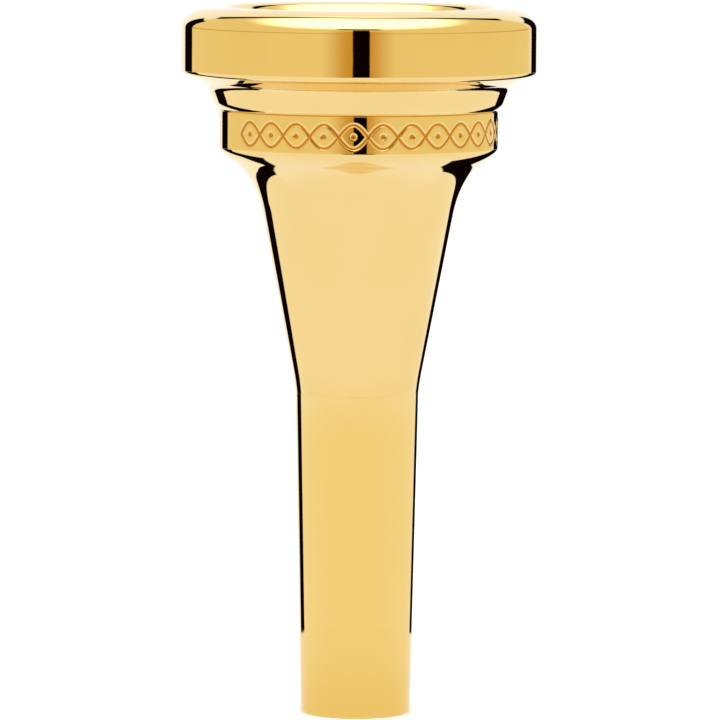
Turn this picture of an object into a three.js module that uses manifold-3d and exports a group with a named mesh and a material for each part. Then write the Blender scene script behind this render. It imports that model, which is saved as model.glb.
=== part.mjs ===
// A gold-plated brass mouthpiece for a medium-shank low brass instrument, of the kind that screws apart:
// a rim, a cup and a shank, with a rubber seal ring at each of the two screwed joints.
// Millimetres, +Z up. The mouthpiece stands on the open end of its shank, which is the origin,
// and every piece is turned about the Z axis.
import * as THREE from "three";
import { mergeVertices } from "three/addons/utils/BufferGeometryUtils.js";
import Module from "manifold-3d";

const wasm = await Module();
wasm.setup();

// Driving dimensions: radii, and heights above the end of the shank.
const SEGMENTS = 40;
const CURVE_STEPS = 4;
const REACH = 5; // how far a cutting tool stands clear of what it cuts

const RIM_RADIUS = 19.0;
const CROWN = { radius: 15.2, height: 75.7 };
const BITE = { radius: 12.7, height: 73.5 };
const BAND_RADIUS = 14.93;
const RIM_SEAM = { radius: 14.8, height: 64.7 };
const SHANK_SEAM = { radius: 6.6, height: 34.5 };
const SHANK_END = { radius: 5.87, bore: 4.95 };
const THROAT = { radius: 3.3, height: 36.5 };

// The two screw threads share one form, and every part of a thread is this far from its mate.
const PITCH = 1.0;
const THREAD_DEPTH = 0.55;
const THREAD_PLAY = 0.15;
const END_GAP = 0.2;
const CHAMFER = 0.3;

// The rim's spigot screws down into the top of the cup.
const SPIGOT = { crest: 13.1, end: 60.6, threadTop: 63.25, bore: 10.15 };
// The shank's tenon screws up into the bottom of the cup, and ends in a plain nose.
const TENON = { crest: 5.3, threadLow: 35.3, threadTop: 38.4, nose: 4.5, end: 41.7, bore: 3.5 };

// A seal is a round ring; its bed is a groove that leaves it a little room all round.
const SEAL_SECTION = 0.45;
const SEAL_ROOM = 0.1;
const RIM_SEAL = { radius: 13.05, height: 63.95 };
const CUP_SEAL = { radius: 5.0, height: 39.45 };

const COLOURS = { gold: 0xf0c872, rubber: 0x1c1a19 };

// ---- Shapes -------------------------------------------------------------------------------------

function solidOf(geometry) {
  geometry.deleteAttribute("normal");
  geometry.deleteAttribute("uv");
  const merged = mergeVertices(geometry, 1e-4);
  return new wasm.Manifold(
    new wasm.Mesh({
      numProp: 3,
      vertProperties: merged.attributes.position.array,
      triVerts: new Uint32Array(merged.index.array),
    }),
  );
}

// Turns a closed outline of (radius, height) about the Z axis. The outline runs anticlockwise.
function turned(outline) {
  const points = outline.getPoints(CURVE_STEPS);
  if (!points[0].equals(points[points.length - 1])) {
    points.push(points[0].clone());
  }
  return solidOf(new THREE.LatheGeometry(points, SEGMENTS).rotateX(Math.PI / 2));
}

// A plain round bar between two heights.
function bar(radius, low, high) {
  const outline = new THREE.Path()
    .moveTo(0, low)
    .lineTo(radius, low)
    .lineTo(radius, high)
    .lineTo(0, high);
  return turned(outline);
}

// A bar with a right-hand screw thread along all of it. Its rows of points climb with the helix,
// so the flat roots, the flanks and the flat crests are exact at every angle.
function threadedBar(rootRadius, crestRadius, low, high) {
  const form = [
    { at: 0.0, radius: rootRadius },
    { at: 0.2, radius: rootRadius },
    { at: 0.5, radius: crestRadius },
    { at: 0.7, radius: crestRadius },
  ];
  const firstTurn = Math.floor(low / PITCH) - 1;
  const rows = (Math.ceil(high / PITCH) - firstTurn) * form.length;
  const positions = [];
  // The first column has one turn more than the others, because the last column closes onto it.
  const columnStart = [];
  for (let column = 0; column < SEGMENTS; column++) {
    columnStart.push(positions.length / 3);
    const angle = (2 * Math.PI * column) / SEGMENTS;
    const extra = column === 0 ? form.length : 0;
    for (let row = 0; row <= rows + extra; row++) {
      const { at, radius } = form[row % form.length];
      const turns = firstTurn + Math.floor(row / form.length) + at + column / SEGMENTS;
      positions.push(radius * Math.cos(angle), radius * Math.sin(angle), turns * PITCH);
    }
  }
  const vertex = (column, row) =>
    column === SEGMENTS ? columnStart[0] + row + form.length : columnStart[column] + row;
  const bottom = positions.length / 3;
  positions.push(0, 0, firstTurn * PITCH);
  const top = bottom + 1;
  positions.push(0, 0, (firstTurn + rows / form.length + 1) * PITCH);

  const faces = [];
  for (let column = 0; column < SEGMENTS; column++) {
    for (let row = 0; row < rows; row++) {
      const [a, b] = [vertex(column, row), vertex(column + 1, row)];
      const [c, d] = [vertex(column + 1, row + 1), vertex(column, row + 1)];
      faces.push(a, b, c, a, c, d);
    }
    faces.push(bottom, vertex(column + 1, 0), vertex(column, 0));
    faces.push(top, vertex(column, rows), vertex(column + 1, rows));
  }
  for (let row = 0; row < form.length; row++) {
    faces.push(bottom, vertex(0, row), vertex(0, row + 1));
    faces.push(top, vertex(0, rows + row + 1), vertex(0, rows + row));
  }
  const geometry = new THREE.BufferGeometry();
  geometry.setAttribute("position", new THREE.Float32BufferAttribute(positions, 3));
  geometry.setIndex(faces);
  return solidOf(geometry);
}

// Cuts a thread on the outside of a piece, between two heights.
function cutMaleThread(piece, crest, low, high) {
  const waste = bar(crest + REACH, low, high);
  return piece.subtract(waste.subtract(threadedBar(crest - THREAD_DEPTH, crest, low, high)));
}

// Cuts the matching thread on the wall of a hole, with play all round.
function cutFemaleThread(piece, crest, low, high) {
  const tap = threadedBar(crest - THREAD_DEPTH + THREAD_PLAY, crest + THREAD_PLAY, low, high);
  return piece.subtract(tap.intersect(bar(crest + REACH, low, high)));
}

function meshOf(name, solid, material) {
  const { numProp, vertProperties, triVerts } = solid.getMesh();
  const geometry = new THREE.BufferGeometry();
  const interleaved = new THREE.InterleavedBuffer(vertProperties, numProp);
  geometry.setAttribute("position", new THREE.InterleavedBufferAttribute(interleaved, 3, 0));
  geometry.setIndex(new THREE.BufferAttribute(triVerts, 1));
  const flat = geometry.toNonIndexed();
  flat.computeVertexNormals();
  const mesh = new THREE.Mesh(flat, material);
  mesh.name = name;
  return mesh;
}

// ---- Materials ----------------------------------------------------------------------------------

function goldPlate() {
  return new THREE.MeshStandardMaterial({ color: COLOURS.gold, metalness: 1.0, roughness: 0.08 });
}

function sealRubber() {
  return new THREE.MeshStandardMaterial({ color: COLOURS.rubber, metalness: 0.0, roughness: 0.6 });
}

// ---- Pieces -------------------------------------------------------------------------------------

// The wide cushion rim, its neck, and the threaded spigot with the bed of the rim seal.
function makeRim() {
  const bedFloor = RIM_SEAL.radius - SEAL_SECTION - SEAL_ROOM;
  const outline = new THREE.Path()
    .moveTo(SPIGOT.bore, SPIGOT.end)
    .lineTo(SPIGOT.crest - CHAMFER, SPIGOT.end)
    .lineTo(SPIGOT.crest, SPIGOT.end + CHAMFER)
    .lineTo(SPIGOT.crest, SPIGOT.threadTop)
    .lineTo(bedFloor, SPIGOT.threadTop)
    .lineTo(bedFloor, RIM_SEAM.height)
    .lineTo(RIM_SEAM.radius, RIM_SEAM.height)
    // the neck, rounded under to its foot
    .quadraticCurveTo(15.9, 65.6, 16.05, 66.85)
    // the fillet under the rim, its rising underside, and its lower edge
    .quadraticCurveTo(16.12, 67.34, 16.6, 67.55)
    .lineTo(RIM_RADIUS - 0.5, 68.38)
    .quadraticCurveTo(RIM_RADIUS, 68.6, RIM_RADIUS, 68.97)
    // outer rounding and crown, then the inner edge down to the bite, and the bowl
    .absellipse(CROWN.radius, 73.45, RIM_RADIUS - CROWN.radius, CROWN.height - 73.45, 0, Math.PI / 2)
    .quadraticCurveTo(14.4, CROWN.height, 14.0, CROWN.height - 0.3)
    .quadraticCurveTo(13.05, 74.7, BITE.radius, BITE.height)
    .quadraticCurveTo(11.83, 70.5, SPIGOT.bore, SPIGOT.end);
  return cutMaleThread(turned(outline), SPIGOT.crest, SPIGOT.end - END_GAP, SPIGOT.threadTop + END_GAP);
}

// The cup: the band that carries the ornament, the flare, the long cone, and the funnel inside.
// It has a threaded socket at each end.
function makeCup() {
  const topMinor = SPIGOT.crest - THREAD_DEPTH + THREAD_PLAY;
  const topFloor = SPIGOT.end - END_GAP;
  const sealWall = RIM_SEAL.radius + SEAL_SECTION + SEAL_ROOM;
  const bottomMinor = TENON.crest - THREAD_DEPTH + THREAD_PLAY;
  const bottomFloor = TENON.end + END_GAP;
  const noseBore = TENON.nose + THREAD_PLAY;
  const bedWall = CUP_SEAL.radius + SEAL_SECTION + SEAL_ROOM;
  const bedLow = CUP_SEAL.height - SEAL_SECTION - 2 * SEAL_ROOM;
  const bedHigh = CUP_SEAL.height + SEAL_SECTION + 2 * SEAL_ROOM;
  const outline = new THREE.Path()
    .moveTo(TENON.crest + CHAMFER, SHANK_SEAM.height)
    .lineTo(SHANK_SEAM.radius, SHANK_SEAM.height)
    // the bend out of the shank's taper, then the long cone
    .quadraticCurveTo(6.61, 35.05, 6.72, 35.6)
    .lineTo(10.18, 53.5)
    // the flare, the rounded lower edge of the band, and the band with its top edge
    .quadraticCurveTo(10.96, 57.54, 13.5, 59.25)
    .quadraticCurveTo(BAND_RADIUS, 60.21, BAND_RADIUS, 60.75)
    .lineTo(BAND_RADIUS, RIM_SEAM.height - 0.1)
    .lineTo(BAND_RADIUS - 0.1, RIM_SEAM.height)
    // the upper socket: room for the rim seal, then the female thread
    .lineTo(sealWall + 0.2, RIM_SEAM.height)
    .lineTo(sealWall, RIM_SEAM.height - 0.2)
    .lineTo(sealWall, SPIGOT.threadTop + 0.05)
    .lineTo(topMinor, SPIGOT.threadTop + 0.05)
    .lineTo(topMinor, topFloor)
    .lineTo(SPIGOT.bore - 0.07, topFloor)
    // the funnel down to the throat
    .bezierCurveTo(8.4, 54.9, 3.6, 47.0, TENON.bore, bottomFloor)
    // the lower socket: a plain bore for the nose, the bed of the cup seal, then the female thread
    .lineTo(noseBore, bottomFloor)
    .lineTo(noseBore, bedHigh)
    .lineTo(bedWall, bedHigh)
    .lineTo(bedWall, bedLow)
    .lineTo(bottomMinor, bedLow)
    .lineTo(bottomMinor, SHANK_SEAM.height + 0.7)
    .lineTo(TENON.crest + CHAMFER, SHANK_SEAM.height);
  const withTop = cutFemaleThread(turned(outline), SPIGOT.crest, topFloor, SPIGOT.threadTop + 0.2);
  return cutFemaleThread(withTop, TENON.crest, SHANK_SEAM.height - REACH, bedLow + 0.2);
}

// The tapered shank that goes into the instrument, with its threaded tenon, throat and backbore.
function makeShank() {
  const relief = TENON.crest - THREAD_DEPTH - 0.05;
  const outline = new THREE.Path()
    .moveTo(SHANK_END.bore + 0.15, 0)
    .lineTo(SHANK_END.radius - 0.17, 0)
    .lineTo(SHANK_END.radius, 0.2)
    .lineTo(SHANK_SEAM.radius, SHANK_SEAM.height)
    .lineTo(relief, SHANK_SEAM.height)
    .lineTo(relief, TENON.threadLow - 0.1)
    .lineTo(TENON.crest, TENON.threadLow + 0.3)
    .lineTo(TENON.crest, TENON.threadTop - 0.2)
    .lineTo(TENON.crest - 0.2, TENON.threadTop)
    .lineTo(TENON.nose, TENON.threadTop)
    .lineTo(TENON.nose, TENON.end - 0.2)
    .lineTo(TENON.nose - 0.2, TENON.end)
    .lineTo(TENON.bore, TENON.end)
    // the throat, then the backbore opening out to the end
    .quadraticCurveTo(THROAT.radius, TENON.end - 1.5, THROAT.radius, THROAT.height)
    .quadraticCurveTo(4.2, 18.5, SHANK_END.bore, 0.15)
    .lineTo(SHANK_END.bore + 0.15, 0);
  return cutMaleThread(turned(outline), TENON.crest, TENON.threadLow - 0.1, TENON.threadTop + 0.1);
}

// A round rubber ring about the origin; its mesh is placed at the seal's own height.
function makeSeal(radius) {
  const outline = new THREE.Path().absarc(radius, 0, SEAL_SECTION, 0, 2 * Math.PI);
  return turned(outline);
}

// ---- Assembly -----------------------------------------------------------------------------------

// The mouthpiece comes apart in this order: the rim with its seal lifts off the cup, and the cup
// with its own seal lifts off the shank.
function assemble() {
  const rim = new THREE.Group();
  rim.add(meshOf("rim", makeRim(), goldPlate()));
  const rimSeal = meshOf("rim_seal", makeSeal(RIM_SEAL.radius), sealRubber());
  rimSeal.position.z = RIM_SEAL.height;
  rim.add(rimSeal);

  const cup = new THREE.Group();
  cup.add(meshOf("cup", makeCup(), goldPlate()));
  const cupSeal = meshOf("cup_seal", makeSeal(CUP_SEAL.radius), sealRubber());
  cupSeal.position.z = CUP_SEAL.height;
  cup.add(cupSeal, rim);

  const mouthpiece = new THREE.Group();
  mouthpiece.add(meshOf("shank", makeShank(), goldPlate()), cup);
  return mouthpiece;
}

export default assemble();
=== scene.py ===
"""A gold-plated brass mouthpiece on a pale floor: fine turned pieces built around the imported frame."""

import math

import bpy
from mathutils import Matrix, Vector


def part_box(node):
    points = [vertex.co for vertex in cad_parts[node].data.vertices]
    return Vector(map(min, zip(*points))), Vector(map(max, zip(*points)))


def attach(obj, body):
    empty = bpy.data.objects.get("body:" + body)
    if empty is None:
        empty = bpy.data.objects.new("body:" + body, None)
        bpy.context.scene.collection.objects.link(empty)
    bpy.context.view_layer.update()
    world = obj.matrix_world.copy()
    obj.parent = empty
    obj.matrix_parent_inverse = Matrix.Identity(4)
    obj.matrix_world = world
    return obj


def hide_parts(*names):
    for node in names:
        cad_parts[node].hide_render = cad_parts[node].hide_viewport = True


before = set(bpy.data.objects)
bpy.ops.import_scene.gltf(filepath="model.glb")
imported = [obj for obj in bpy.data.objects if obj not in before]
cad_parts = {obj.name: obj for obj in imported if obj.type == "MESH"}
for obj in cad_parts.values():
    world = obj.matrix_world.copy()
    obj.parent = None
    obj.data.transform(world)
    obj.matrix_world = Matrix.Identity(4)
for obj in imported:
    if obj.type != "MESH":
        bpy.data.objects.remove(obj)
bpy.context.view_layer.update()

# Lengths in the outlines are millimetres, as a turner would read them; meshes are made in metres.
MM = 0.001
COLUMNS = 192
FINE = 6  # the band with the ornament has this many times the columns
CORNER = 0.06  # the radius of an ordinary rounded corner
SUPPORT = 0.015  # how far from the end of a line its support point is

# Sizes that the frame gives.
SHANK_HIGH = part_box("shank")[1]
CUP_LOW, CUP_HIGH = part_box("cup")
RIM_LOW, RIM_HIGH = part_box("rim")
RIM_RADIUS = RIM_HIGH.x / MM
CROWN_HEIGHT = RIM_HIGH.z / MM
SPIGOT_END = RIM_LOW.z / MM
BAND_RADIUS = CUP_HIGH.x / MM
RIM_SEAM = CUP_HIGH.z / MM
SHANK_SEAM = CUP_LOW.z / MM
SHANK_SEAM_RADIUS = SHANK_HIGH.x / MM
TENON_END = SHANK_HIGH.z / MM

# The crown of the rim.
CROWN_DROP = 2.25  # how far it falls from its top to the wall of the rim
CROWN_RADIUS = 15.2  # where it is highest

# The screw threads, as in the frame.
PITCH = 1.0
THREAD_DEPTH = 0.55
THREAD_PLAY = 0.15
SPIGOT_CREST = 13.1
SPIGOT_THREAD_TOP = RIM_SEAM - 1.45
TENON_CREST = 5.3
TENON_THREAD_LOW = SHANK_SEAM + 0.8
TENON_THREAD_TOP = SHANK_SEAM + 3.9
SPIGOT_BORE = 10.15
TENON_BORE = 3.5
TENON_NOSE = 4.5

# ---- Turned meshes --------------------------------------------------------------------------------


class Outline:
    """A closed outline of (radius, height), run anticlockwise, with small round corners."""

    def __init__(self, radius, height, corner=CORNER):
        self.points = [(radius, height, corner, 1)]

    def line(self, radius, height, corner=CORNER, steps=1, fineness=1):
        """A straight line; steps and fineness give the rows and columns that relief on it needs."""
        r0, h0 = self.points[-1][:2]
        for i in range(1, steps + 1):
            t = i / steps
            last = i == steps
            point = (r0 + (radius - r0) * t, h0 + (height - h0) * t)
            self.points.append((*point, corner if last else 0.0, 1 if last and steps > 1 else fineness))
        return self

    def bend(self, control, end, steps=20, corner=0.0):
        """A quadratic curve from the last point to end, drawn towards control."""
        start = self.points[-1][:2]
        for i in range(1, steps + 1):
            t = i / steps
            a, b, c = (1 - t) ** 2, 2 * t * (1 - t), t * t
            point = [a * start[k] + b * control[k] + c * end[k] for k in (0, 1)]
            self.points.append((*point, corner if i == steps else 0.0, 1))
        return self

    def sweep(self, first, second, end, steps=32, corner=0.0):
        """A cubic curve from the last point to end."""
        start = self.points[-1][:2]
        for i in range(1, steps + 1):
            t = i / steps
            w = ((1 - t) ** 3, 3 * t * (1 - t) ** 2, 3 * t * t * (1 - t), t**3)
            point = [w[0] * start[k] + w[1] * first[k] + w[2] * second[k] + w[3] * end[k] for k in (0, 1)]
            self.points.append((*point, corner if i == steps else 0.0, 1))
        return self

    def oval(self, centre, radii, start, end, steps=28):
        """Part of an ellipse between two angles in degrees, anticlockwise."""
        for i in range(steps + 1):
            angle = math.radians(start + (end - start) * i / steps)
            point = (centre[0] + radii[0] * math.cos(angle), centre[1] + radii[1] * math.sin(angle))
            if math.dist(point, self.points[-1][:2]) > 1e-6:
                self.points.append((*point, 0.0, 1))
        return self

    def rows(self):
        """The outline's points, its corners rounded, with support points beside them on longer lines."""
        points = self.points
        if math.dist(points[0][:2], points[-1][:2]) < 1e-6:
            points = points[:-1]
        rows = []
        for i, (r, h, corner, fineness) in enumerate(points):
            here = Vector((r, h))
            into = here - Vector(points[i - 1][:2])
            out = Vector(points[(i + 1) % len(points)][:2]) - here
            if corner > 0:
                turn = abs(into.angle_signed(out))
                reach = corner * math.tan(min(turn, 3.0) / 2)
                reach = min(reach, 0.45 * into.length, 0.45 * out.length)
                start, end = here - into.normalized() * reach, here + out.normalized() * reach
                steps = max(2, round(math.degrees(turn) / 12))
                arc = []
                for k in range(steps + 1):
                    t = k / steps
                    arc.append((1 - t) ** 2 * start + 2 * t * (1 - t) * here + t * t * end)
                if into.length > 4 * SUPPORT + reach:
                    rows.append((*(start - into.normalized() * SUPPORT), fineness))
                rows += [(*p, fineness) for p in arc]
                if out.length > 4 * SUPPORT + reach:
                    rows.append((*(end + out.normalized() * SUPPORT), 1))
            else:
                rows.append((r, h, fineness))
                if out.length > 0.4 and fineness == 1:
                    rows.append((*(here + out.normalized() * SUPPORT), 1))
        return rows


def turn(name, outline, material, relief=None):
    """Turns an outline about the Z axis. relief(radius, height, angle) gives each point's radius
    and how deep it is engraved, from 0 to 1."""
    rows = outline.rows()
    verts, marks, starts = [], [], []
    for r, h, fineness in rows:
        starts.append(len(verts))
        count = COLUMNS * fineness
        for i in range(count):
            angle = 2 * math.pi * i / count
            radius, mark = relief(r, h, angle) if relief else (r, 0.0)
            verts.append((radius * math.cos(angle) * MM, radius * math.sin(angle) * MM, h * MM))
            marks.append(mark)
    faces = []
    for k, (_, _, fine_a) in enumerate(rows):
        n = (k + 1) % len(rows)
        fine_b = rows[n][2]
        for i in range(COLUMNS * min(fine_a, fine_b)):
            faces += joined(starts[k], starts[n], i, fine_a, fine_b)
    mesh = bpy.data.meshes.new(name)
    mesh.from_pydata(verts, [], faces)
    mesh.shade_smooth()
    mesh.attributes.new("engraved", "FLOAT", "POINT").data.foreach_set("value", marks)
    mesh.materials.append(material)
    piece = bpy.data.objects.new(name, mesh)
    bpy.context.scene.collection.objects.link(piece)
    return piece


def joined(low, high, i, fine_low, fine_high):
    """The faces between column i and the next of two rows; a finer row is met by a fan."""
    count_low, count_high = COLUMNS * fine_low, COLUMNS * fine_high
    if fine_low == fine_high:
        n = (i + 1) % count_low
        return [(low + i, low + n, high + n, high + i)]
    if fine_low < fine_high:
        ratio = fine_high // fine_low
        edge = [high + (i * ratio + k) % count_high for k in range(ratio + 1)]
        a, b = low + i, low + (i + 1) % count_low
        half = ratio // 2
        fan = [(a, edge[k + 1], edge[k]) for k in range(half)]
        fan.append((a, b, edge[half]))
        return fan + [(b, edge[k + 1], edge[k]) for k in range(half, ratio)]
    ratio = fine_low // fine_high
    edge = [low + (i * ratio + k) % count_low for k in range(ratio + 1)]
    a, b = high + i, high + (i + 1) % count_high
    half = ratio // 2
    fan = [(a, edge[k], edge[k + 1]) for k in range(half)]
    fan.append((a, edge[half], b))
    return fan + [(b, edge[k], edge[k + 1]) for k in range(half, ratio)]


def thread_radius(crest, height, angle):
    """The radius of a right-hand thread with flat roots, straight flanks and flat crests."""
    phase = (height / PITCH - angle / (2 * math.pi)) % 1.0
    if phase < 0.2:
        share = 0.0
    elif phase < 0.5:
        share = (phase - 0.2) / 0.3
    elif phase < 0.7:
        share = 1.0
    else:
        share = (1.0 - phase) / 0.3
    return crest - THREAD_DEPTH * (1.0 - share)


# ---- Ornament -------------------------------------------------------------------------------------

# A chain of eyes, drawn by two waves that cross, with a bead in the middle of each eye. It is
# engraved along part of the band.
BAND_ORNAMENT = (60.85, 64.35)  # the heights between which the band has fine rows
ENGRAVING_DEPTH = 0.10
STROKE = 0.19  # half the width of a line
EYES = 15
EYE_TURN = math.radians(12)  # how far round the band one eye reaches
FIRST_EYE = math.radians(-146)  # where the chain starts
WAVE_HEIGHT = 1.25
BEAD = 0.34


def ornament_depth(height, angle):
    """How deep the band is engraved at a point, from 0 to 1."""
    middle = sum(BAND_ORNAMENT) / 2 - 0.02
    eyes = ((angle - FIRST_EYE) % (2 * math.pi)) / EYE_TURN
    if eyes > EYES:
        return 0.0
    width = EYE_TURN * BAND_RADIUS
    rise = WAVE_HEIGHT * math.sin(math.pi * eyes)
    slope = WAVE_HEIGHT * math.pi / width * math.cos(math.pi * eyes)
    lean = math.sqrt(1 + slope * slope)
    away = min(abs(height - middle - rise), abs(height - middle + rise)) / lean
    from_bead = math.hypot((eyes % 1.0 - 0.5) * width, height - middle)
    away = min(away, max(0.0, from_bead - BEAD + STROKE))
    groove = max(0.0, 1 - (away / STROKE) ** 2)
    return groove * groove * (3 - 2 * groove)


# ---- Pieces ---------------------------------------------------------------------------------------


def make_rim(material):
    """The cushion rim, its neck and the threaded spigot below the seam."""
    bed = 12.5  # the wall of the seal's bed
    rows = round((SPIGOT_THREAD_TOP - SPIGOT_END) * 16)
    outline = (
        Outline(SPIGOT_BORE, SPIGOT_END)
        .line(SPIGOT_CREST - 0.3, SPIGOT_END)
        .line(SPIGOT_CREST, SPIGOT_END + 0.3, corner=0.0, steps=5)
        .line(SPIGOT_CREST, SPIGOT_THREAD_TOP, corner=0.0, steps=rows)
        .line(bed, SPIGOT_THREAD_TOP)
        .line(bed, RIM_SEAM)
        # the neck, the underside and the wall
        .line(14.8, RIM_SEAM, corner=0.02)
        .bend((15.36, RIM_SEAM + 0.46), (15.5, RIM_SEAM + 0.82), steps=20)
        .line(16.0, RIM_SEAM + 2.15, corner=0.0)
        .bend((16.185, RIM_SEAM + 2.67), (16.85, RIM_SEAM + 2.96), steps=28)
        .line(RIM_RADIUS - 0.5, RIM_SEAM + 3.68, corner=0.0)
        .bend((RIM_RADIUS, RIM_SEAM + 3.9), (RIM_RADIUS, RIM_SEAM + 4.27), steps=16)
        .line(RIM_RADIUS, CROWN_HEIGHT - CROWN_DROP, corner=0.0)
        # the crown, the bite and the top of the funnel
        .oval((CROWN_RADIUS, CROWN_HEIGHT - CROWN_DROP), (RIM_RADIUS - CROWN_RADIUS, CROWN_DROP), 0, 90, 40)
        .bend((14.4, CROWN_HEIGHT), (14.0, CROWN_HEIGHT - 0.3), steps=16)
        .bend((13.05, CROWN_HEIGHT - 1.0), (12.7, CROWN_HEIGHT - 2.2), steps=20)
        .bend((11.83, RIM_SEAM + 5.8), (SPIGOT_BORE, SPIGOT_END), steps=40, corner=CORNER)
    )

    def relief(radius, height, angle):
        if radius > bed + 0.01 and height < SPIGOT_THREAD_TOP + 0.01 and radius < SPIGOT_CREST + 0.01:
            return min(radius, thread_radius(SPIGOT_CREST, height, angle)), 0.0
        return radius, 0.0

    piece = turn("rim_turned", outline, material, relief)
    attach(piece, "rim")
    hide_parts("rim")


def make_cup(material):
    """The cone, the flare and the band, with a threaded socket at each end and the funnel between."""
    top_minor = SPIGOT_CREST - THREAD_DEPTH + THREAD_PLAY
    bottom_minor = TENON_CREST - THREAD_DEPTH + THREAD_PLAY
    thread_top = SPIGOT_THREAD_TOP + 0.05
    top_floor = SPIGOT_END - 0.2
    bottom_floor = TENON_END + 0.2
    bed_low, bed_high, bed_wall = SHANK_SEAM + 4.3, SHANK_SEAM + 5.6, 5.55
    nose_bore = TENON_NOSE + THREAD_PLAY
    entry = SHANK_SEAM + 0.7
    outline = (
        Outline(TENON_CREST + 0.3, SHANK_SEAM, corner=0.02)
        # the cone, the flare and the band
        .line(SHANK_SEAM_RADIUS, SHANK_SEAM, corner=0.006)
        .bend((6.719, SHANK_SEAM + 1.09), (6.929, SHANK_SEAM + 2.18), steps=24)
        .line(10.18, SHANK_SEAM + 19.0, corner=0.0)
        .bend((10.96, SHANK_SEAM + 23.04), (13.5, RIM_SEAM - 5.45), steps=36)
        .bend((BAND_RADIUS, RIM_SEAM - 4.49), (BAND_RADIUS, RIM_SEAM - 3.95), steps=20)
        .line(BAND_RADIUS, BAND_ORNAMENT[0], corner=0.0)
        .line(BAND_RADIUS, BAND_ORNAMENT[1], corner=0.0, steps=40, fineness=FINE)
        .line(BAND_RADIUS, RIM_SEAM, corner=0.12)
        # the rim's socket, the funnel, the seal's bed and the shank's socket
        .line(13.8, RIM_SEAM)
        .line(13.6, RIM_SEAM - 0.2)
        .line(13.6, thread_top)
        .line(top_minor, thread_top, corner=0.0)
        .line(top_minor, top_floor, corner=0.0, steps=44)
        .line(SPIGOT_BORE - 0.07, top_floor)
        .sweep((8.4, SPIGOT_END - 5.7), (3.6, TENON_END + 5.3), (TENON_BORE, bottom_floor), 48, CORNER)
        .line(nose_bore, bottom_floor)
        .line(nose_bore, bed_high)
        .line(bed_wall, bed_high)
        .line(bed_wall, bed_low)
        .line(bottom_minor, bed_low, corner=0.0)
        .line(bottom_minor, entry, corner=0.0, steps=56)
        .line(TENON_CREST + 0.3, SHANK_SEAM, corner=0.0, steps=8)
    )

    def relief(radius, height, angle):
        if top_floor + 0.01 < height < thread_top - 0.01 and abs(radius - top_minor) < 0.01:
            return max(radius, thread_radius(SPIGOT_CREST, height, angle) + THREAD_PLAY), 0.0
        if SHANK_SEAM + 0.01 < height < bed_low - 0.01 and radius < TENON_CREST + 0.31:
            if radius > bottom_minor - 0.01:
                return max(radius, thread_radius(TENON_CREST, height, angle) + THREAD_PLAY), 0.0
        if abs(radius - BAND_RADIUS) < 0.001:
            depth = ornament_depth(height, angle)
            return radius - ENGRAVING_DEPTH * depth, depth
        return radius, 0.0

    piece = turn("cup_turned", outline, material, relief)
    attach(piece, "cup")
    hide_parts("cup")


def make_shank(material):
    """The taper with its threaded tenon, the throat and the backbore."""
    end, bore_end = 5.87, 4.95
    relief_radius = TENON_CREST - THREAD_DEPTH - 0.05
    outline = (
        Outline(bore_end + 0.15, 0.0, corner=0.05)
        .line(end - 0.17, 0.0, corner=0.08)
        .line(end, 0.2, corner=0.12)
        .line(SHANK_SEAM_RADIUS, SHANK_SEAM, corner=0.006)
        # the tenon
        .line(relief_radius, SHANK_SEAM)
        .line(relief_radius, TENON_THREAD_LOW - 0.1, corner=0.0)
        .line(TENON_CREST, TENON_THREAD_LOW + 0.3, corner=0.0, steps=8)
        .line(TENON_CREST, TENON_THREAD_TOP - 0.2, corner=0.0, steps=42)
        .line(TENON_CREST - 0.2, TENON_THREAD_TOP, corner=0.0, steps=4)
        .line(TENON_NOSE, TENON_THREAD_TOP)
        .line(TENON_NOSE, TENON_END - 0.2)
        .line(TENON_NOSE - 0.2, TENON_END)
        .line(TENON_BORE, TENON_END)
        # the throat and the backbore
        .bend((3.3, TENON_END - 1.5), (3.3, TENON_END - 5.2), steps=10)
        .bend((4.2, 18.5), (bore_end, 0.15), steps=24, corner=0.03)
        .line(bore_end + 0.15, 0.0, corner=0.0)
    )

    def relief(radius, height, angle):
        inside_thread = TENON_THREAD_LOW - 0.09 < height < TENON_THREAD_TOP - 0.001
        if inside_thread and radius > relief_radius + 0.001:
            return min(radius, thread_radius(TENON_CREST, height, angle)), 0.0
        return radius, 0.0

    piece = turn("shank_turned", outline, material, relief)
    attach(piece, "shank")
    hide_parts("shank")


def make_seal(name, material):
    """A round rubber ring, as big as the faceted one that it replaces."""
    low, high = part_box(name)
    section = (high.z - low.z) / 2 / MM
    centre = (high.x / MM - section, (low.z + high.z) / 2 / MM)
    outline = Outline(centre[0] + section, centre[1], corner=0.0)
    outline.oval(centre, (section, section), 0, 360, steps=28)
    piece = turn(name + "_ring", outline, material)
    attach(piece, name)
    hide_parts(name)


# ---- Materials ------------------------------------------------------------------------------------


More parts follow.
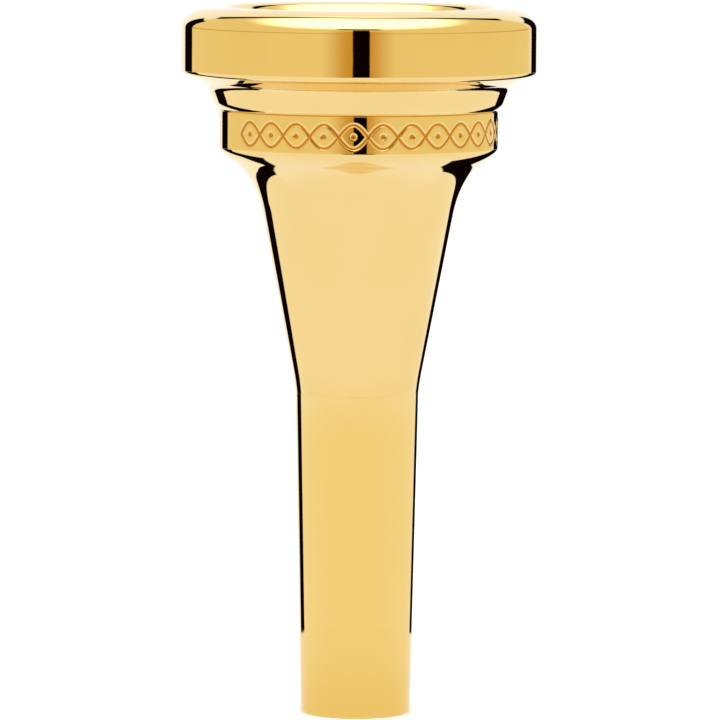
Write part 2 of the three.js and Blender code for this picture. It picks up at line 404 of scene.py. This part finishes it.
class Nodes:
    """Adds shader nodes and joins them up."""

    def __init__(self, tree):
        self.tree = tree

    def add(self, kind, inputs=None, **settings):
        node = self.tree.nodes.new(kind)
        for key, value in settings.items():
            setattr(node, key, value)
        for key, value in (inputs or {}).items():
            if isinstance(value, bpy.types.NodeSocket):
                self.tree.links.new(value, node.inputs[key])
            else:
                node.inputs[key].default_value = value
        return node

    def math(self, operation, a, b=0.0):
        return self.add("ShaderNodeMath", {0: a, 1: b}, operation=operation).outputs[0]

    def ramp(self, value, low, high, to_low=0.0, to_high=1.0, smooth=True):
        kind = "SMOOTHSTEP" if smooth else "LINEAR"
        inputs = {0: value, 1: low, 2: high, 3: to_low, 4: to_high}
        return self.add("ShaderNodeMapRange", inputs, interpolation_type=kind).outputs[0]

    def fall(self, value, low, high):
        """1 up to low, and down to 0 at high."""
        return self.ramp(value, low, high, 1.0, 0.0)

    def window(self, value, low, high, soft):
        """1 between low and high, falling to 0 over soft on each side."""
        return self.math("MULTIPLY", self.ramp(value, low - soft, low), self.fall(value, high, high + soft))

    def product(self, first, *others):
        for other in others:
            first = self.math("MULTIPLY", first, other)
        return first

    def blend(self, factor, a, b):
        node = self.add("ShaderNodeMix", data_type="RGBA")
        for key, value in ((0, factor), (6, a), (7, b)):
            if isinstance(value, bpy.types.NodeSocket):
                self.tree.links.new(value, node.inputs[key])
            else:
                node.inputs[key].default_value = value
        return node.outputs[2]


def empty_material(name):
    material = bpy.data.materials.new(name)
    material.use_nodes = True
    material.node_tree.nodes.clear()
    return material


# The plating's colours, and the heights in metres over which a painted reflection deepens its tone down the
# shank.
GOLD_PALE = (0.925, 0.700, 0.310, 1.0)
GOLD_DEEP = (0.905, 0.675, 0.285, 1.0)
# painted shade: the engraved grooves are coloured a darker, redder gold
GOLD_CUT_PAINTED_SHADE = (0.66, 0.27, 0.025, 1.0)
GOLD_SHANK_PAINTED_REFLECTION = (0.887, 0.622, 0.196, 1.0)
GOLD_END_PAINTED_REFLECTION = (0.858, 0.562, 0.148, 1.0)
SHANK_REFLECTION_HEIGHTS = (0.029, 0.038)
END_REFLECTION_HEIGHTS = (0.0, 0.009)


def gold_plate():
    """Polished gold plate: nearly a mirror, with faint hazing, handling marks and polishing lines.
    Its tone deepens down the shank: a painted reflection, darker and warmer towards the end."""
    material = empty_material("gold_plate")
    n = Nodes(material.node_tree)
    place = n.add("ShaderNodeTexCoord").outputs["Object"]
    cut = n.add("ShaderNodeAttribute", attribute_name="engraved").outputs["Fac"]

    tone = n.add("ShaderNodeTexNoise", {"Vector": place, "Scale": 70.0, "Detail": 3.0}).outputs["Fac"]
    gold = n.blend(n.ramp(tone, 0.35, 0.65), GOLD_PALE, GOLD_DEEP)
    height = n.add("ShaderNodeSeparateXYZ", {0: place}).outputs[2]
    # painted reflection: the gold is darker and warmer down the shank, and again at its end
    gold = n.blend(n.fall(height, *SHANK_REFLECTION_HEIGHTS), gold, GOLD_SHANK_PAINTED_REFLECTION)
    gold = n.blend(n.fall(height, *END_REFLECTION_HEIGHTS), gold, GOLD_END_PAINTED_REFLECTION)
    # painted shade in the engraved lines, where the band is cut
    colour = n.blend(n.ramp(cut, 0.05, 0.85), gold, GOLD_CUT_PAINTED_SHADE)

    haze = n.add("ShaderNodeTexNoise", {"Vector": place, "Scale": 260.0, "Detail": 4.0}).outputs["Fac"]
    marks = n.add("ShaderNodeTexNoise", {"Vector": place, "Scale": 110.0, "Detail": 6.0, "Distortion": 1.2})
    handled = n.ramp(marks.outputs["Fac"], 0.56, 0.70)
    polish = n.ramp(haze, 0.3, 0.7, 0.022, 0.040, smooth=False)
    rough = n.math("ADD", polish, n.math("MULTIPLY", handled, 0.03))
    rough = n.math("ADD", rough, n.math("MULTIPLY", cut, 0.22))

    stretched = n.add("ShaderNodeMapping", {"Vector": place, "Scale": (60.0, 60.0, 5200.0)}).outputs[0]
    lines = n.add("ShaderNodeTexNoise", {"Vector": stretched, "Scale": 1.0, "Detail": 2.0}).outputs["Fac"]
    ripple = n.add("ShaderNodeTexNoise", {"Vector": place, "Scale": 420.0, "Detail": 1.0}).outputs["Fac"]
    waver = n.math("ADD", n.math("MULTIPLY", lines, 0.15), n.math("MULTIPLY", ripple, 0.85))
    bump = n.add("ShaderNodeBump", {"Height": waver, "Strength": 0.10, "Distance": 0.00004})

    shader = n.add("ShaderNodeBsdfPrincipled", {
        "Base Color": colour,
        "Metallic": 1.0,
        "Roughness": rough,
        "Normal": bump.outputs["Normal"],
    })
    n.add("ShaderNodeOutputMaterial", {"Surface": shader.outputs[0]})
    return material


def seal_rubber():
    """Black nitrile rubber with a fine grain and a slight film of slide grease."""
    material = empty_material("seal_rubber")
    n = Nodes(material.node_tree)
    place = n.add("ShaderNodeTexCoord").outputs["Object"]
    grain = n.add("ShaderNodeTexNoise", {"Vector": place, "Scale": 5000.0, "Detail": 3.0}).outputs["Fac"]
    film = n.add("ShaderNodeTexNoise", {"Vector": place, "Scale": 300.0, "Detail": 3.0}).outputs["Fac"]
    colour = n.blend(film, (0.012, 0.011, 0.010, 1.0), (0.035, 0.032, 0.029, 1.0))
    bump = n.add("ShaderNodeBump", {"Height": grain, "Strength": 0.3, "Distance": 0.00003})
    shader = n.add("ShaderNodeBsdfPrincipled", {
        "Base Color": colour,
        "Roughness": n.ramp(film, 0.3, 0.7, 0.32, 0.62),
        "Normal": bump.outputs["Normal"],
    })
    n.add("ShaderNodeOutputMaterial", {"Surface": shader.outputs[0]})
    return material


# ---- Stage ----------------------------------------------------------------------------------------


def make_floor():
    """The pale floor, which reflections leave out."""
    material = empty_material("pale_floor")
    n = Nodes(material.node_tree)
    shader = n.add("ShaderNodeBsdfPrincipled", {"Base Color": (0.86, 0.86, 0.86, 1.0), "Roughness": 0.9})
    n.add("ShaderNodeOutputMaterial", {"Surface": shader.outputs[0]})
    reach = 6.0
    corners = [(-reach, -reach, 0), (reach, -reach, 0), (reach, reach, 0), (-reach, reach, 0)]
    mesh = bpy.data.meshes.new("floor")
    mesh.from_pydata(corners, [], [(0, 1, 2, 3)])
    mesh.materials.append(material)
    floor = bpy.data.objects.new("floor", mesh)
    bpy.context.scene.collection.objects.link(floor)
    floor.visible_glossy = False


DISC_EDGE = (0.0568, 0.0600)  # where the disc starts to fade, and where it is gone


def make_sheet():
    """The white disc under the mouthpiece, which only reflections show: it hides the feet of the dark
    cards from whatever looks down close by. It is whiter behind, and its edge is soft."""
    material = empty_material("white_sheet")
    n = Nodes(material.node_tree)
    place = n.add("ShaderNodeTexCoord").outputs["Object"]
    out = n.add("ShaderNodeVectorMath", {0: place}, operation="LENGTH").outputs["Value"]
    behind = n.math("DIVIDE", n.add("ShaderNodeSeparateXYZ", {0: place}).outputs[1], out)
    tone = n.blend(n.ramp(behind, -0.96, 0.5), (0.998, 0.976, 0.930, 1.0), (1.01, 1.03, 1.10, 1.0))
    white = n.add("ShaderNodeEmission", {"Color": tone, "Strength": 1.0})
    clear = n.add("ShaderNodeBsdfTransparent")
    edge = n.ramp(out, *DISC_EDGE)
    shader = n.add("ShaderNodeMixShader", {0: edge, 1: white.outputs[0], 2: clear.outputs[0]})
    n.add("ShaderNodeOutputMaterial", {"Surface": shader.outputs[0]})
    radius, height, sides = 0.0605, -0.00001, 96
    ring = []
    for i in range(sides):
        angle = 2 * math.pi * i / sides
        ring.append((radius * math.cos(angle), radius * math.sin(angle), height))
    mesh = bpy.data.meshes.new("sheet")
    mesh.from_pydata(ring, [], [list(range(sides))])
    mesh.materials.append(material)
    sheet = bpy.data.objects.new("sheet", mesh)
    bpy.context.scene.collection.objects.link(sheet)
    sheet.visible_camera = False
    sheet.visible_diffuse = False
    sheet.visible_shadow = False


DARK = (0.004, 0.001, 0.0006, 1.0)


def make_studio():
    """A white tent round the mouthpiece, with a bright sheet overhead, a dark slit for the camera
    and a dark card on each side behind. What the tent shows depends only on the direction."""
    world = bpy.data.worlds.new("studio")
    bpy.context.scene.world = world
    world.use_nodes = True
    world.node_tree.nodes.clear()
    n = Nodes(world.node_tree)
    direction = n.add("ShaderNodeTexCoord").outputs["Generated"]
    axes = n.add("ShaderNodeSeparateXYZ", {0: direction}).outputs
    degrees = 180 / math.pi
    rise = n.math("MULTIPLY", n.math("ARCSINE", axes[2]), degrees)
    # angle round from straight behind: positive to the camera's right, 180 at the camera
    side = n.math("MULTIPLY", n.math("ARCTAN2", axes[0], axes[1]), degrees)
    away = n.math("ABSOLUTE", side)

    seen = tent_walls(n, rise, away)
    seen = overhead_sheet(n, seen, rise, away)
    seen = camera_shade(n, seen, rise, away)
    seen = sheet_hem(n, seen, rise, away)
    dark = n.math("MAXIMUM", camera_slit(n, rise, side, away), dark_cards(n, rise, side))
    seen = n.blend(dark, seen, DARK)

    # the floor is lit evenly, and the camera sees plain white behind the mouthpiece
    path = n.add("ShaderNodeLightPath").outputs
    shown = n.blend(path["Is Diffuse Ray"], seen, (1.7, 1.7, 1.7, 1.0))
    shown = n.blend(path["Is Camera Ray"], shown, (1.0, 1.0, 1.0, 1.0))
    light = n.add("ShaderNodeBackground", {"Color": shown, "Strength": 1.0})
    n.add("ShaderNodeOutputWorld", {"Surface": light.outputs[0]})


def tent_walls(n, rise, away):
    """The tent by height: white below and warm from eye level up, paler towards the back, and white
    straight behind."""
    wall = n.blend(n.ramp(rise, -8.6, -7.6), (1.0, 0.98, 0.94, 1.0), (1.0, 0.97, 0.86, 1.0))
    wall = n.blend(n.ramp(rise, -6.5, -4.2), wall, (0.90, 0.79, 0.48, 1.0))
    wall = n.blend(n.window(rise, 1.0, 4.0, 1.0), wall, (0.66, 0.46, 0.15, 1.0))
    pale = n.product(n.fall(away, 60.0, 165.0), n.window(rise, -12.5, -6.5, 2.0))
    wall = n.blend(pale, wall, (1.01, 1.03, 1.10, 1.0))
    return n.blend(n.fall(away, 26.0, 42.0), wall, (1.03, 1.08, 1.15, 1.0))


def overhead_sheet(n, tent, rise, away):
    """The bright sheet overhead, whose edge hangs lower towards the camera."""
    above_edge = n.math("SUBTRACT", rise, n.ramp(away, 60.0, 160.0, 58.0, 44.0))
    return n.blend(n.ramp(above_edge, -10.0, 8.0), tent, (2.4, 2.4, 2.5, 1.0))


def camera_shade(n, tent, rise, away):
    """The warm shade round the camera, and the dull red cap above its slit."""
    shade = n.product(n.ramp(away, 154.0, 175.0), n.ramp(rise, -5.8, -4.0), n.fall(rise, 14.0, 32.0))
    shaded = n.blend(shade, tent, (0.66, 0.38, 0.07, 1.0))
    cap = n.product(n.ramp(away, 161.0, 168.0), n.window(rise, 33.0, 41.0, 2.0))
    return n.blend(cap, shaded, (0.14, 0.025, 0.003, 1.0))


def sheet_hem(n, tent, rise, away):
    """The arched back edge of the overhead sheet: brown at its top and dark at its two sides."""
    arch_rise = n.math("DIVIDE", n.math("SUBTRACT", rise, 38.0), 23.0)
    arch_side = n.math("DIVIDE", away, 31.5)
    squares = n.math("ADD", n.product(arch_rise, arch_rise), n.product(arch_side, arch_side))
    arch = n.math("SQRT", squares)
    hem = n.product(n.window(arch, 0.88, 1.14, 0.05), n.ramp(rise, 33.0, 36.0))
    colour = n.blend(n.ramp(away, 6.0, 26.0), (0.36, 0.28, 0.18, 1.0), DARK)
    return n.blend(hem, tent, colour)


def camera_slit(n, rise, side, away):
    """The slit that the camera looks through, which fades at its top, and its wide foot: 1 where dark."""
    across = n.math("MAXIMUM", n.ramp(side, 172.6, 173.4), n.fall(side, -176.4, -175.6))
    slit = n.product(across, n.ramp(rise, -5.8, -4.8), n.fall(rise, 26.0, 34.0))
    foot = n.product(n.ramp(away, 164.0, 170.0), n.window(rise, -7.0, -4.6, 0.4), 0.8)
    return n.math("MAXIMUM", slit, foot)


def dark_cards(n, rise, side):
    """A card on each side behind: 1 where it is dark. The cards look wider below eye level."""
    low = n.fall(rise, -6.5, -4.0)
    high = n.math("SUBTRACT", 1.0, low)
    near_side = n.math("SUBTRACT", side, n.math("MULTIPLY", n.fall(rise, -38.0, -30.0), 7.0))
    far_side = n.math("ADD", side, n.math("MULTIPLY", n.ramp(rise, -18.5, -13.5), 4.2))
    low_left = n.product(n.fall(near_side, -28.5, -27.5), n.ramp(far_side, -46.0, -45.0), low)
    low_right = n.product(n.window(side, 14.5, 35.0, 1.0), low)
    high_left = n.product(n.window(side, -43.0, -28.5, 1.0), n.fall(rise, 26.0, 27.5), high)
    high_right = n.product(n.window(side, 15.5, 31.5, 1.0), n.fall(rise, 18.0, 19.5), high)
    left = n.math("MAXIMUM", low_left, high_left)
    right = n.math("MAXIMUM", low_right, high_right)
    return n.math("MAXIMUM", left, right)


def make_camera():
    """A little above the rim, looking slightly down through a long lens."""
    camera = bpy.data.objects.new("camera", bpy.data.cameras.new("camera"))
    bpy.context.scene.collection.objects.link(camera)
    place = Vector((0.0003, -0.62, 0.0965))
    aim = Vector((0.0003, 0.0, 0.0379))
    camera.location = place
    look = (aim - place).to_track_quat("-Z", "Y")
    camera.rotation_euler = look.to_euler()
    camera.rotation_euler.rotate_axis("Z", math.radians(0.33))
    camera.data.sensor_width = 36.0
    camera.data.lens = 291.0
    camera.data.clip_start = 0.01
    bpy.context.scene.camera = camera


# ---- Scene ----------------------------------------------------------------------------------------

bpy.context.scene.view_settings.view_transform = "Standard"
make_camera()
make_studio()
make_floor()
make_sheet()
gold = gold_plate()
rubber = seal_rubber()
make_rim(gold)
make_cup(gold)
make_shank(gold)
for seal in ("rim_seal", "cup_seal"):
    make_seal(seal, rubber)
